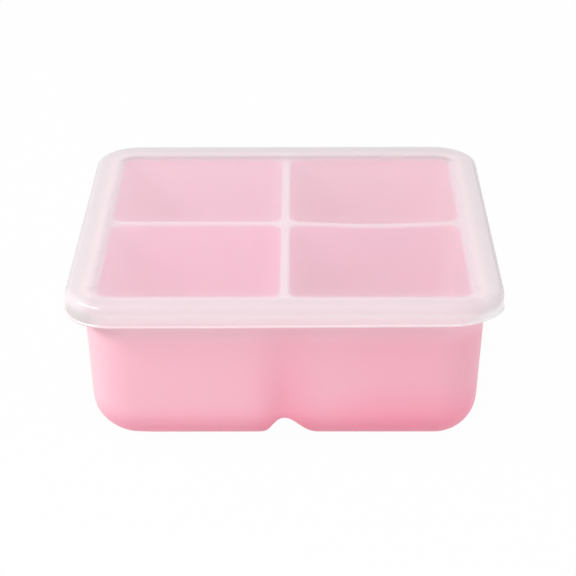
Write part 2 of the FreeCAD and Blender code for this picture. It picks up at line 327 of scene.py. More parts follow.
def cup_rows():
    """The rings of a cup from its floor up to the flat edge."""
    depth = MOUTH_Z - CUP_FLOOR_Z
    near_foot, far_foot = CUP_NEAR + depth * LEAN, CUP_FAR - depth * LEAN
    inset = CUP_FLOOR_ROUNDING * HALF_LEAN
    floor_near, floor_far = near_foot + FLOOR_INSET * inset, far_foot - FLOOR_INSET * inset
    rows = [level_ring(cup_ring(floor_near, floor_far, FLOOR_CORNER), CUP_FLOOR_Z)]
    for angle in np.linspace(0, math.pi / 2 - LEAN_ANGLE, FLOOR_STEPS + 1):
        out = CUP_FLOOR_ROUNDING * math.sin(angle) - inset
        height = CUP_FLOOR_Z + CUP_FLOOR_ROUNDING * (1 - math.cos(angle))
        ring = cup_ring(near_foot - out, far_foot + out, CUP_FOOT_CORNER + out)
        rows.append(level_ring(ring, height))
    edge_out = CUP_MOUTH_ROUNDING * HALF_LEAN
    wall_low, wall_high = rows[-1][0, 2], MOUTH_Z - edge_out * math.cos(LEAN_ANGLE)
    for height in np.linspace(wall_low, wall_high, WALL_STEPS + 1)[1:]:
        below_mouth = MOUTH_Z - height
        corner = CUP_CORNER + (CUP_FOOT_CORNER - CUP_CORNER) * below_mouth / depth
        ring = cup_ring(CUP_NEAR + below_mouth * LEAN, CUP_FAR - below_mouth * LEAN, corner)
        rows.append(level_ring(ring, height))
    for angle in np.linspace(math.pi / 2 - LEAN_ANGLE, 0, EDGE_STEPS + 1)[1:]:
        out = edge_out - CUP_MOUTH_ROUNDING * math.sin(angle)
        height = MOUTH_Z - CUP_MOUTH_ROUNDING * (1 - math.cos(angle))
        rows.append(level_ring(cup_ring(CUP_NEAR - out, CUP_FAR + out, CUP_CORNER + out), height))
    return rows


print("rows up a cup:", len(cup_rows()))

# %% The collar, the rim and the wall
UNDER_RIM_ROUNDING, RIM_ROOT = 0.9, 0.5
ROUNDINGS = 5  # how many small roundings outer_rows lays above the wall


def outer_rows():
    """The rows of a quarter from the collar's flat top over the rim and down the wall."""
    rows = []

    def lay(half, corner, height):
        rows.append(level_ring(quarter_row(half, corner), height))

    turn = np.linspace(0, math.pi / 2, EDGE_STEPS + 1)
    for angle in turn:  # the collar's top edge
        out = COLLAR_ROUNDING * (1 - math.sin(angle))
        lay(WALL_TOP - out, COLLAR_CORNER - out, MOUTH_Z - COLLAR_ROUNDING * (1 - math.cos(angle)))
    for angle in turn:  # the root between collar and rim
        out = RIM_ROOT * (1 - math.cos(angle))
        lay(WALL_TOP + out, COLLAR_CORNER + out, RIM_TOP_Z + RIM_ROOT * (1 - math.sin(angle)))
    for angle in turn:  # the rim's upper edge
        out = RIM_ROUNDING * (1 - math.sin(angle))
        lay(RIM_SIDE - out, RIM_CORNER - out, RIM_TOP_Z - RIM_ROUNDING * (1 - math.cos(angle)))
    for angle in turn:  # the rim's lower edge
        out = RIM_ROUNDING * (1 - math.cos(angle))
        lay(RIM_SIDE - out, RIM_CORNER - out, RIM_UNDER_Z + RIM_ROUNDING * (1 - math.sin(angle)))
    for angle in turn:  # the root between rim and wall
        out = UNDER_RIM_ROUNDING * (1 - math.sin(angle))
        height = RIM_UNDER_Z - UNDER_RIM_ROUNDING * (1 - math.cos(angle))
        half = WALL_TOP - (MOUTH_Z - height) * LEAN + out
        lay(half, FOOT_CORNER + half - WALL_FOOT, height)
    wall_low = FOOT_ROUNDING * (1 - math.sin(LEAN_ANGLE))
    for height in np.linspace(rows[-1][0, 2], wall_low, WALL_STEPS + 1)[1:-1]:
        half = WALL_TOP - (MOUTH_Z - height) * LEAN
        lay(half, FOOT_CORNER + half - WALL_FOOT, height)
    return rows


print("rows down the outside:", len(outer_rows()))

# %% [markdown]
# Round the foot, the rows that cross the channel stop at its roof, so the channel opens cleanly
# through the wall. Above it a shallow groove runs up the wall and fades out under the rim.

# %% The foot, the channel's mouths and the grooves
FOOT_STEPS = 9
NEAR_MIDDLE = np.minimum(np.arange(COLUMNS), COLUMNS - 1 - np.arange(COLUMNS))
ON_FIRST_SIDE = np.arange(COLUMNS) < COLUMNS // 2


def from_middle(row):
    """How far each point of a quarter row lies from the middle line that its side crosses."""
    return np.where(ON_FIRST_SIDE, row[:, 1], row[:, 0])


def foot_rows(sign_x, sign_y):
    """The rows round the foot, from the wall to the underside, in the quarter with these signs."""
    inset = FOOT_ROUNDING * HALF_LEAN
    flat_half = WALL_FOOT - inset
    plain_end = quarter_row(flat_half, FOOT_CORNER - inset)
    roof = underside(sign_x * plain_end[:, 0], sign_y * plain_end[:, 1])
    end_angle = np.arcsin((roof - FOOT_ROUNDING) / FOOT_ROUNDING)
    start_angle = -LEAN_ANGLE
    rows = []
    for share in np.linspace(0, 1, FOOT_STEPS + 1):
        nominal = start_angle + (-math.pi / 2 - start_angle) * share
        half = flat_half + FOOT_ROUNDING * math.cos(nominal)
        row = level_ring(quarter_row(half, FOOT_CORNER + half - WALL_FOOT), 0.0)
        angle = start_angle + (end_angle - start_angle) * share
        row[:, 2] = FOOT_ROUNDING * (1 + np.sin(angle))
        crossing = NEAR_MIDDLE <= FINE
        own_half = flat_half + FOOT_ROUNDING * np.cos(angle)
        row[crossing & ON_FIRST_SIDE, 0] = own_half[crossing & ON_FIRST_SIDE]
        row[crossing & ~ON_FIRST_SIDE, 1] = own_half[crossing & ~ON_FIRST_SIDE]
        rows.append(row)
    return rows


def grooved(row):
    """A row of the wall or foot, pressed in where the groove runs."""
    height = np.clip(row[:, 2] / RIM_UNDER_Z, 0, 1)
    depth = GROOVE_DEPTH + (GROOVE_FADE - GROOVE_DEPTH) * height
    near = NEAR_MIDDLE <= FINE
    press = near * depth * np.exp(-((from_middle(row) / GROOVE_WIDTH) ** 2))
    row = row.copy()
    row[:, 0] -= np.where(ON_FIRST_SIDE, press, 0)
    row[:, 1] -= np.where(ON_FIRST_SIDE, 0, press)
    return row


print("rows round the foot:", len(foot_rows(1, 1)))

# %% [markdown]
# One quarter is made and used four times, with the signs of X and Y turned round. Between the
# cup's ring and the collar lies the flat edge, and under the tray lies a grid that follows the
# channel, with strips from it out to the foot.

# %% The four quarters of the tray
GRID_HALF = 44.0  # the middle of the underside is a grid that reaches this far
EDGE_SHARES = (0.45, 0.85, 1.0)  # where the rings across the flat edge lie, from cup to collar
UNDER_SHARES = (0.4, 0.75, 0.94, 1.0)  # where the rows under the tray lie, from grid to foot


def flat_edge(shape, signs, ring, collar):
    """The flat top of a quarter, from the cup's ring to the middle lines and the collar."""
    step = np.linspace(0, collar[0, 0], INNER_STEPS + 1)
    line_x = np.column_stack([step, np.zeros(INNER_STEPS + 1)])
    border = np.vstack([line_x, collar[1:], line_x[::-1, ::-1][1:-1]])
    before = ring
    for share in EDGE_SHARES:
        after = level_ring(ring[:, :2] + (border - ring[:, :2]) * share, MOUTH_Z)
        shape.strip(before * signs, after * signs, closed=True)
        before = after


def under_quarter(shape, signs, foot):
    """The underside of a quarter: a grid in the middle, and strips from it to the foot."""
    sign_x, sign_y = signs[:2]
    lines = side_stations(GRID_HALF)
    grid = [
        np.column_stack([np.full(SIDE_POINTS, x), lines, underside(sign_x * x, sign_y * lines)])
        for x in lines
    ]
    for a, b in zip(grid, grid[1:]):
        shape.strip(a * signs, b * signs)
    last = grid[-1]
    turn = np.tile(last[-1], (CORNER_STEPS - 1, 1))
    edge = np.vstack([last, turn, last[::-1, [1, 0, 2]]])
    edge[:, 2] = underside(sign_x * edge[:, 0], sign_y * edge[:, 1])
    before = edge
    for share in UNDER_SHARES:
        after = edge + (foot - edge) * share
        if share < 1:
            after[:, 2] = underside(sign_x * after[:, 0], sign_y * after[:, 1])
        shape.strip(before * signs, after * signs)
        before = after


def quarter(shape, sign_x, sign_y):
    """Adds the quarter of the tray with these signs to the shape."""
    signs = np.array([sign_x, sign_y, 1.0])
    cups = [row * signs for row in cup_rows()]
    shape.cap(cups[0])
    for low, high in zip(cups, cups[1:]):
        shape.strip(low, high, closed=True)
    shape.in_cups.update(shape.point(p) for row in cups for p in row)

    outer = outer_rows()
    wall_start = ROUNDINGS * (EDGE_STEPS + 1)
    walls = [grooved(row) for row in outer[wall_start:] + foot_rows(sign_x, sign_y)]
    outside = outer[:wall_start] + walls
    for high, low in zip(outside, outside[1:]):
        shape.strip(high * signs, low * signs)
    flat_edge(shape, signs, cups[-1] / signs, outside[0][:, :2])
    under_quarter(shape, signs, outside[-1])


tray_shape = Shape()
for sign_x, sign_y in ((1, 1), (-1, 1), (-1, -1), (1, -1)):
    quarter(tray_shape, sign_x, sign_y)
print("tray:", len(tray_shape.points), "points,", len(tray_shape.faces), "faces")

# %% [markdown]
# ## Soft silicone gives way
#
# Silicone is soft, so no wall of the real tray is quite straight. The divider between the two
# right-hand cups leans towards the front in its middle, and the left foot in front is rounder than
# the others. Both could be sculpted by hand. Moving the finished points with a smooth falloff
# keeps the surface as clean as it was, and says in millimetres how much it gives.

# %% The divider that leans and the rounder foot
LEAN_FORWARD, DIP = 2.0, 0.05  # how far the divider's middle leans, and how far it drops
LEAN_SHAPE = 1.5  # above 1, the lean gathers in the middle of the divider
NEAR_DIVIDER = (5, 18)  # whole up to the first distance, and nothing from the second on
LEAN_HEIGHTS = (8, MOUTH_Z)
DIP_HEIGHTS = (40, MOUTH_Z)
FOOT_LIFT = 0.8
FOOT_LEFT, FOOT_FRONT, FOOT_HEIGHTS = (43, 57), (40, 57), (3, 16)


def eased_tray(places):
    """The points of the tray, with the right-hand divider bent and one foot rounder."""
    x, y, z = places.T
    span = np.clip((x - CUP_NEAR) / (CUP_FAR - CUP_NEAR), 0, 1)
    bow = np.sin(math.pi * span) ** LEAN_SHAPE
    reach = (1 - smoothstep(np.abs(y), *NEAR_DIVIDER)) * smoothstep(z, *LEAN_HEIGHTS)
    at_corner = smoothstep(-x, *FOOT_LEFT) * smoothstep(-y, *FOOT_FRONT)
    corner = at_corner * (1 - smoothstep(z, *FOOT_HEIGHTS))
    places = places.copy()
    places[:, 1] -= LEAN_FORWARD * bow * reach
    places[:, 2] += FOOT_LIFT * corner - DIP * bow * reach * smoothstep(z, *DIP_HEIGHTS)
    return places


tray = make_piece("silicone_tray", tray_shape, eased_tray)
smooth = tray.modifiers.new("smooth", "SUBSURF")
smooth.levels = smooth.render_levels = 1
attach(tray, "tray")
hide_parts("tray")
print("tray box, mm:", [round(1000 * d, 1) for d in tray.dimensions])

# %% [markdown]
# ## The lid
#
# The lid is a thin plate with a short skirt that hangs outside the rim, and a fine bead along
# the skirt's lower edge. It is one closed skin: over the top, down the outside, round the bead
# and back up inside. A solidified sheet would be quicker, but its edge would have no bead and its
# inner corner no rounding. A hair's breadth is left between the plate and the cups' flat edge that
# it rests on, so that the two skins never share a plane.

# %% Rows of the lid
lid_low, lid_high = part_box("lid")
LID_TOP_Z, SKIRT_END_Z = tenths(lid_high.z), tenths(lid_low.z)
BEAD_REACH, BEAD_HEIGHT = 0.2, 0.8
SKIRT_OUTSIDE = tenths(lid_high.x) - BEAD_REACH
SKIRT_CORNER, SKIRT_THICKNESS = 15.0, 1.6
LID_ROUNDING, INNER_ROUNDING = 2.6, 0.7
BEAD_START = 0.5  # the skirt is plain down to this far above the bead
BEAD = (  # out from the skirt's outside, and up from the bead's top
    (-0.15, 0.3),
    (-0.15, 0.12),
    (0.1, -0.08),
    (BEAD_REACH, -0.25),
    (BEAD_REACH, -0.5),
    (0.08, -0.7),
    (-0.15, -BEAD_HEIGHT),
)
INNER_EDGE = 0.2  # the small slope at the skirt's inner lower edge
HAIR = 0.12  # from the flat edge up to the lid's underside
LOOP_SIDE, LOOP_CORNER = 24, 12
TOP_EDGE_STEPS, SKIRT_STEPS, INSIDE_ROWS = 7, 4, 6
PLATE_HALVES, PLATE_CORNER = (20, 40, 58), 0.2  # the plate's rings, and their corner as a share


def loop(half, corner, height):
    """A whole level rounded square."""
    flat = half - corner
    along = np.linspace(-flat, flat, LOOP_SIDE + 1)
    side = np.column_stack([np.full(LOOP_SIDE + 1, half), along])
    turn = bend((flat, flat), corner, 0, 90, LOOP_CORNER)[:-1]
    part = np.vstack([side, turn])
    turned = []
    for _ in range(4):
        turned.append(part)
        part = np.column_stack([-part[:, 1], part[:, 0]])
    return level_ring(np.vstack(turned), height)


def plate_rows(height):
    """The rings of the flat plate, from the middle outwards."""
    return [loop(half, half * PLATE_CORNER, height) for half in PLATE_HALVES]


def lid_rows():
    """The lid's rows, from the middle of its top to the middle of its underside."""
    rows = plate_rows(LID_TOP_Z)
    for angle in np.linspace(0, math.pi / 2, TOP_EDGE_STEPS + 1):
        out = LID_ROUNDING * (1 - math.sin(angle))
        height = LID_TOP_Z - LID_ROUNDING * (1 - math.cos(angle))
        rows.append(loop(SKIRT_OUTSIDE - out, SKIRT_CORNER - out, height))
    bead_z = SKIRT_END_Z + BEAD_HEIGHT
    for height in np.linspace(rows[-1][0, 2], bead_z + BEAD_START, SKIRT_STEPS + 1)[1:]:
        rows.append(loop(SKIRT_OUTSIDE, SKIRT_CORNER, height))
    for out, rise in BEAD:
        rows.append(loop(SKIRT_OUTSIDE + out, SKIRT_CORNER + out, bead_z + rise))
    inside, corner = SKIRT_OUTSIDE - SKIRT_THICKNESS, SKIRT_CORNER - SKIRT_THICKNESS
    rows.append(loop(inside + INNER_EDGE, corner + INNER_EDGE, SKIRT_END_Z))
    under = MOUTH_Z + HAIR
    for height in np.linspace(SKIRT_END_Z + INNER_EDGE, under - INNER_ROUNDING, INSIDE_ROWS):
        rows.append(loop(inside, corner, height))
    for angle in np.linspace(math.pi / 2, 0, EDGE_STEPS + 1)[1:]:
        inward = INNER_ROUNDING * (1 - math.sin(angle))
        height = under - INNER_ROUNDING * (1 - math.cos(angle))
        rows.append(loop(inside - inward, corner - inward, height))
    return rows + plate_rows(under)[::-1]


lid_shape = Shape()
rows = lid_rows()
lid_shape.cap(rows[0])
for a, b in zip(rows, rows[1:]):
    lid_shape.strip(a, b, closed=True)
lid_shape.cap(rows[-1])
print("lid:", len(lid_shape.points), "points,", len(lid_shape.faces), "faces")

# %% [markdown]
# The skirt of a soft lid never hangs quite level. In front its lower edge sinks a little to the
# left and rises to the right, and at the right-hand corner it curls up.

# %% The skirt's lower edge, and the lid piece
SINK, RISE, CURL = 0.3, 0.2, 0.9
SKIRT_LOW = (SKIRT_END_Z + 0.5, SKIRT_END_Z + 4.5)  # whole below the first height, none above
SKIRT_FRONT = (50, 64)
SINK_SPAN, RISE_SPAN, CURL_SPAN = (-10, 40), (0, 45), (50, 64)


def eased_lid(places):
    """The points of the lid, with the front of its skirt a little uneven."""
    x, y, z = places.T
    low = 1 - smoothstep(z, *SKIRT_LOW)
    front = smoothstep(-y, *SKIRT_FRONT)
    lift = RISE * smoothstep(x, *RISE_SPAN) - SINK * smoothstep(-x, *SINK_SPAN)
    places = places.copy()
    places[:, 2] += low * front * (lift + CURL * smoothstep(x, *CURL_SPAN))
    return places


lid = make_piece("frosted_lid", lid_shape, eased_lid)
smooth = lid.modifiers.new("smooth", "SUBSURF")
smooth.levels = smooth.render_levels = 1
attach(lid, "lid")
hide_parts("lid")
print("lid box, mm:", [round(1000 * d, 1) for d in lid.dimensions])

# %% [markdown]
# ## Making materials
#
# Colours are written as the hex values of a screen colour and turned to the linear values that
# shaders work with. One small function adds any node, with its settings and its links. Some
# sockets share a name and are told apart by number: a Mix node takes its share at i0, its two
# plain numbers at i2 and i3 and its two colours at i6 and i7, and gives a mixed colour at output 2.

# %% Colour and node helpers
SOFT = {"interpolation_type": "SMOOTHSTEP"}
RGBA = {"data_type": "RGBA"}
DEEPEN = {"data_type": "RGBA", "blend_type": "MULTIPLY"}
ABSOLUTE = {"operation": "ABSOLUTE"}
SMALLER = {"operation": "MINIMUM"}
LARGER = {"operation": "MAXIMUM"}
PLUS = {"operation": "ADD"}
MINUS = {"operation": "SUBTRACT"}
LESS = {"operation": "SUBTRACT", "use_clamp": True}  # one mask less another, never below 0
TIMES = {"operation": "MULTIPLY"}
OVER = {"operation": "DIVIDE"}


def linear(hex_colour):
    """Linear RGBA of an sRGB hex colour such as "#F4B0C2"."""
    parts = [int(hex_colour[i : i + 2], 16) / 255 for i in (1, 3, 5)]
    return (*[c / 12.92 if c <= 0.04045 else ((c + 0.055) / 1.055) ** 2.4 for c in parts], 1.0)


def fade(start, end):
    """The range of a mask that is 0 at start and 1 at end, both in millimetres."""
    return {"From_Min": start * MM, "From_Max": end * MM}


def add(material, kind, settings=None, **inputs):
    """Adds a node. inputs are named by socket, with _ for a space, or by number, such as i0.

    Each is a value to set, or an output to link.
    """
    tree = material.node_tree
    node = tree.nodes.new(kind)
    for name, value in (settings or {}).items():
        setattr(node, name, value)
    for name, value in inputs.items():
        key = int(name[1:]) if name[0] == "i" and name[1:].isdigit() else name.replace("_", " ")
        if isinstance(value, bpy.types.NodeSocket):
            tree.links.new(value, node.inputs[key])
        else:
            node.inputs[key].default_value = value
    return node


def new_material(name):
    """An empty node material."""
    material = bpy.data.materials.new(name)
    material.use_nodes = True
    material.node_tree.nodes.clear()
    return material


print("half grey #808080 in linear light:", round(linear("#808080")[0], 3))

# %% [markdown]
# ### Moulded silicone
#
# The tray is silicone rubber, cured under pressure in a steel mould whose faces are blasted matt.
# That gives the eye a soft, even pink with a satin sheen and no sharp mirror image. A little light
# gets into the rubber, so it looks deeper where it is thick. Round the feet and where the dividers
# meet the wall it is painted deeper, for that thicker rubber and as painted shade where the foot
# curves under and in the groove. Painted light makes it paler under the lid, at the front left
# corner, on the cups' outer sides, on the rim and on the flat edge. Inside the cups it is painted a
# deeper pink for the light that bounces round there, and towards the right, away from the light,
# painted shade makes it a little deeper. One flat colour would lose that, and a painted texture
# would need unwrapping. Here the shades are blended by masks that are worked out in millimetres
# from the place on the tray.

# %% The silicone's own colour
OUTSIDE = linear("#F5B7C7")
OUTSIDE_PALE = linear("#F5BBCA")
MOTTLE_SIZE = 22  # millimetres, about a finger's width: the pigment is never milled in quite evenly
MOTTLE_ROUGHNESS = 0.45  # below 0.5, so that the finer part of the pattern stays weak

silicone = new_material("moulded_silicone")
place = add(silicone, "ShaderNodeTexCoord").outputs["Object"]
mottle = add(
    silicone,
    "ShaderNodeTexNoise",
    Vector=place,
    Scale=1 / (MOTTLE_SIZE * MM),
    Detail=2.0,
    Roughness=MOTTLE_ROUGHNESS,
).outputs["Fac"]
outside = add(silicone, "ShaderNodeMix", RGBA, i0=mottle, i6=OUTSIDE, i7=OUTSIDE_PALE).outputs[2]
print("silicone colour", [round(c, 3) for c in OUTSIDE[:3]])

# %% [markdown]
# The masks come in two kinds. Heights and distances to a side are ranges of one coordinate. How
# far a point is from the nearer middle line, where the dividers are, and how far out it is from
# the tray's centre, are the smaller and the larger of X and Y, both without their sign.

# %% Where the rubber is thick, thin or lit from several sides
LEFT_END, FRONT_END = fade(-51, -63), fade(-40, -54)  # both together are the front left corner, painted paler as painted light
TO_THE_RIGHT = fade(-35, 45)  # painted shade: the side away from the light is painted deeper
FOOT_TOP_LEFT, FOOT_TOP_RIGHT = 17 * MM, 26 * MM  # how high the deeper foot reaches
FOOT_TOP_SPAN = fade(0, 30)  # the stretch in which that rises, from the middle to the right
FOOT_END = -1 * MM  # a little below the table's level, so that the mask never quite reaches 1
GROOVE_SPAN, GROOVE_HEIGHTS = fade(14, 0), fade(40, 8)
GROOVE_SHARE_HIGH = 0.3  # how much of the deeper groove is left high on the wall
UNDER_LID_HEIGHTS, CUP_SIDE_SPAN = fade(35, 44.5), fade(48, 55.5)
FLAT_EDGE_HEIGHTS, RIM_HEIGHTS = fade(50.1, 50.5), fade(47.0, 48.1)

along = add(silicone, "ShaderNodeSeparateXYZ", Vector=place)
across, depth, height = (along.outputs[axis] for axis in "XYZ")
unsigned = add(silicone, "ShaderNodeVectorMath", ABSOLUTE, i0=place).outputs[0]
sides = add(silicone, "ShaderNodeSeparateXYZ", Vector=unsigned)
side_x, side_y = sides.outputs["X"], sides.outputs["Y"]
to_middle_line = add(silicone, "ShaderNodeMath", SMALLER, i0=side_x, i1=side_y).outputs[0]
from_centre = add(silicone, "ShaderNodeMath", LARGER, i0=side_x, i1=side_y).outputs[0]

foot_top = add(
    silicone,
    "ShaderNodeMapRange",
    Value=across,
    To_Min=FOOT_TOP_LEFT,
    To_Max=FOOT_TOP_RIGHT,
    **FOOT_TOP_SPAN,
).outputs[0]
at_foot = add(
    silicone, "ShaderNodeMapRange", SOFT, Value=height, From_Min=foot_top, From_Max=FOOT_END
).outputs[0]
low_down = add(
    silicone, "ShaderNodeMapRange", SOFT, Value=height, To_Min=GROOVE_SHARE_HIGH, **GROOVE_HEIGHTS
).outputs[0]
at_groove = add(
    silicone, "ShaderNodeMapRange", SOFT, Value=to_middle_line, To_Max=low_down, **GROOVE_SPAN
).outputs[0]
high_up = add(silicone, "ShaderNodeMapRange", SOFT, Value=height, **UNDER_LID_HEIGHTS).outputs[0]
far_left = add(silicone, "ShaderNodeMapRange", SOFT, Value=across, **LEFT_END).outputs[0]
at_front = add(silicone, "ShaderNodeMapRange", SOFT, Value=depth, **FRONT_END).outputs[0]
front_left = add(silicone, "ShaderNodeMath", TIMES, i0=far_left, i1=at_front).outputs[0]
shade_to_right = add(silicone, "ShaderNodeMapRange", SOFT, Value=across, **TO_THE_RIGHT).outputs[0]
near_wall = add(silicone, "ShaderNodeMapRange", SOFT, Value=from_centre, **CUP_SIDE_SPAN).outputs[0]
on_top = add(silicone, "ShaderNodeMapRange", SOFT, Value=height, **FLAT_EDGE_HEIGHTS).outputs[0]
rim_high = add(silicone, "ShaderNodeMapRange", SOFT, Value=height, **RIM_HEIGHTS).outputs[0]
in_cup = add(silicone, "ShaderNodeAttribute", {"attribute_name": "in_cup"}).outputs["Fac"]
on_rim = add(silicone, "ShaderNodeMath", LESS, i0=rim_high, i1=in_cup).outputs[0]
print("silicone nodes so far:", len(silicone.node_tree.nodes))

# %% [markdown]
# The shades are laid on one after the other, each where its mask is 1, as thin coats of paint
# would be. Multiplying keeps the shade below and takes a share of it away: in the groove that is
# partly what more rubber does to the light and partly painted shade.

# %% The shades of the outside
PAINTED_LIGHT_UNDER_LID = linear("#FFD5E1")  # painted light: the top of the wall, painted paler for the light that comes through the lid
PAINTED_LIGHT_CORNER = linear("#F7C5CF")  # painted light: the front left corner, painted paler where light falls on it from two sides
THICK_AND_SHADED_FOOT = linear("#FD9AB4")  # the feet: thicker rubber, and painted shade where the foot curves under
GROOVE = (0.98, 0.80, 0.85, 1)  # how much of each colour is left where the dividers meet the wall: thicker rubber, and painted shade in the groove

skin = outside
for mask, shade in ((high_up, PAINTED_LIGHT_UNDER_LID), (front_left, PAINTED_LIGHT_CORNER), (at_foot, THICK_AND_SHADED_FOOT)):
    skin = add(silicone, "ShaderNodeMix", RGBA, i0=mask, i6=skin, i7=shade).outputs[2]
skin = add(silicone, "ShaderNodeMix", DEEPEN, i0=at_groove, i6=skin, i7=GROOVE).outputs[2]
print("thick rubber", [round(c, 3) for c in THICK_AND_SHADED_FOOT[:3]])

# %% The shades of the cups, the rim and the flat edge
CUP_INSIDE_PAINTED_BOUNCE = linear("#FCB0D5")  # the floors and the dividers, painted a deeper pink for the light that bounces round in a cup
CUP_SIDE_PAINTED_LIGHT = linear("#FECADE")  # painted light: the outer sides of the cups, painted paler for light from outside
COOLER = (0.965, 0.975, 1.0, 1)  # how much of each colour is left in the cooler patches
COOLER_SIZE = 36  # millimetres: the cooler patches are broader than the drift outside
COOLER_FROM, COOLER_TO = 0.42, 0.58
PAINTED_SHADE_RIGHT = (0.99, 0.905, 0.93, 1)  # painted shade: how much of each colour is left towards the right, away from the light
RIM_PAINTED_PALE = linear("#FADFE5")  # painted light: the top of the thin rim and the collar's side above it, painted pale against the shade under the lid's border
EDGE_PAINTED_PALE = linear("#EFD6DD")  # painted light: the flat edge round the cups, painted pale for its whitish glow where the lid lies on it

cup = add(silicone, "ShaderNodeMix", RGBA, i0=near_wall, i6=CUP_INSIDE_PAINTED_BOUNCE, i7=CUP_SIDE_PAINTED_LIGHT).outputs[2]
patches = add(
    silicone, "ShaderNodeTexNoise", Vector=place, Scale=1 / (COOLER_SIZE * MM), Detail=1.0
).outputs["Fac"]
cool = add(
    silicone, "ShaderNodeMapRange", SOFT, Value=patches, From_Min=COOLER_FROM, From_Max=COOLER_TO
).outputs[0]
cup = add(silicone, "ShaderNodeMix", DEEPEN, i0=cool, i6=cup, i7=COOLER).outputs[2]
shade = add(silicone, "ShaderNodeMix", RGBA, i0=in_cup, i6=skin, i7=cup).outputs[2]
shade = add(silicone, "ShaderNodeMix", DEEPEN, i0=shade_to_right, i6=shade, i7=PAINTED_SHADE_RIGHT).outputs[2]
for mask, paler in ((on_rim, RIM_PAINTED_PALE), (on_top, EDGE_PAINTED_PALE)):
    shade = add(silicone, "ShaderNodeMix", RGBA, i0=mask, i6=shade, i7=paler).outputs[2]
print("silicone nodes so far:", len(silicone.node_tree.nodes))

# %% [markdown]
# The blasted mould leaves a grain of about 0.05 mm on the rubber, far too fine to show here. It is
# drawn 1.1 mm wide and very shallow, so that it only breaks up the sheen. The sheen itself is the
# faint bloom that matt rubber has where it is seen at a slant.

# %% The rubber
GRAIN_SIZE = 1.1  # millimetres, coarser than the real 0.05 so that it shows at all
GRAIN_DEPTH, GRAIN_STRENGTH = 0.4 * MM, 0.06
LIGHT_REACH = 2 * MM  # how far light spreads inside the rubber
LIGHT_SPREAD = (1.0, 0.45, 0.5)  # red light goes farthest in pink rubber

grain = add(
    silicone, "ShaderNodeTexNoise", Vector=place, Scale=1 / (GRAIN_SIZE * MM), Detail=2.0
).outputs["Fac"]
relief = add(
    silicone, "ShaderNodeBump", Strength=GRAIN_STRENGTH, Distance=GRAIN_DEPTH, Height=grain
).outputs["Normal"]
rubber = add(
    silicone,
    "ShaderNodeBsdfPrincipled",
    Base_Color=shade,
    Roughness=0.45,
    IOR=1.5,  # silicone rubber has about 1.42, and 1.5 matches this one's stronger shine
    Subsurface_Weight=0.15,
    Subsurface_Radius=LIGHT_SPREAD,
    Subsurface_Scale=LIGHT_REACH,
    Sheen_Weight=0.12,
    Sheen_Roughness=0.35,
    Normal=relief,
).outputs["BSDF"]
add(silicone, "ShaderNodeOutputMaterial", Surface=rubber)
tray.data.materials.append(silicone)
print("silicone nodes:", len(silicone.node_tree.nodes))

# %% [markdown]
# ### Frosted lid
#
# The lid is a soft, see-through plastic such as polyethylene, moulded against an etched face. To
# the eye that is a milky veil with a satin gloss: the tray shows through it, paler and softer.
# Light that meets it is partly let through, partly scattered back as a white haze and partly
# scattered on to what is below. A rough glass shader would do this too, but it is slow and grainy
# in a closed thin skin. Here each skin mixes three simple shaders instead. The light passes two
# skins on the way in and two on the way out, so each one holds back only a share.
#
# Along the border one looks down through the whole height of the skirt, so it is cloudier there.
# The masks for that start from the reach: how far a point lies outside the lid's flat middle,
# measured round the corners as well as along the sides.

# %% How far out a point of the lid lies, and in which direction
CORNER_CENTRE = (SKIRT_OUTSIDE - SKIRT_CORNER) * MM
ABOVE_ALL = 1.0  # metres, more than any height, so that the height counts for nothing
MIDDLE = (CORNER_CENTRE, CORNER_CENTRE, ABOVE_ALL)

frost = new_material("frosted_soft_plastic")
place = add(frost, "ShaderNodeTexCoord").outputs["Object"]
along = add(frost, "ShaderNodeSeparateXYZ", Vector=place)
across, depth, height = (along.outputs[axis] for axis in "XYZ")
unsigned = add(frost, "ShaderNodeVectorMath", ABSOLUTE, i0=place).outputs[0]
beyond = add(frost, "ShaderNodeVectorMath", MINUS, i0=unsigned, i1=MIDDLE).outputs[0]
outward = add(frost, "ShaderNodeVectorMath", LARGER, i0=beyond, i1=(0, 0, 0)).outputs[0]
reach = add(frost, "ShaderNodeVectorMath", {"operation": "LENGTH"}, i0=outward).outputs["Value"]
ends = add(frost, "ShaderNodeSeparateXYZ", Vector=outward)
end_x, end_y = ends.outputs["X"], ends.outputs["Y"]

both_ways = add(frost, "ShaderNodeMath", SMALLER, i0=end_x, i1=end_y).outputs[0]
turning = add(frost, "ShaderNodeMath", OVER, i0=both_ways, i1=reach).outputs[0]
forward = add(frost, "ShaderNodeMath", MINUS, i0=-CORNER_CENTRE, i1=depth).outputs[0]
facing_front = add(frost, "ShaderNodeMath", OVER, i0=forward, i1=reach).outputs[0]
fore_and_aft = add(frost, "ShaderNodeMath", OVER, i0=end_y, i1=reach).outputs[0]
side_of = add(frost, "ShaderNodeMath", {"operation": "SIGN"}, i0=depth).outputs[0]
backward = add(frost, "ShaderNodeMath", TIMES, i0=fore_and_aft, i1=side_of).outputs[0]
print("the lid's flat middle ends at, mm:", round(CORNER_CENTRE / MM, 1))

# %% [markdown]
# From those come the masks for the parts of the lid. The cloudy border belongs to what lies below
# the plate, and the plate is looked through at a slant. So on its upper face the border lies
# farther in along the back than along the front. The shift follows that. At the back the lower
# face is shifted outwards again, because it lies closer to what shows through it.

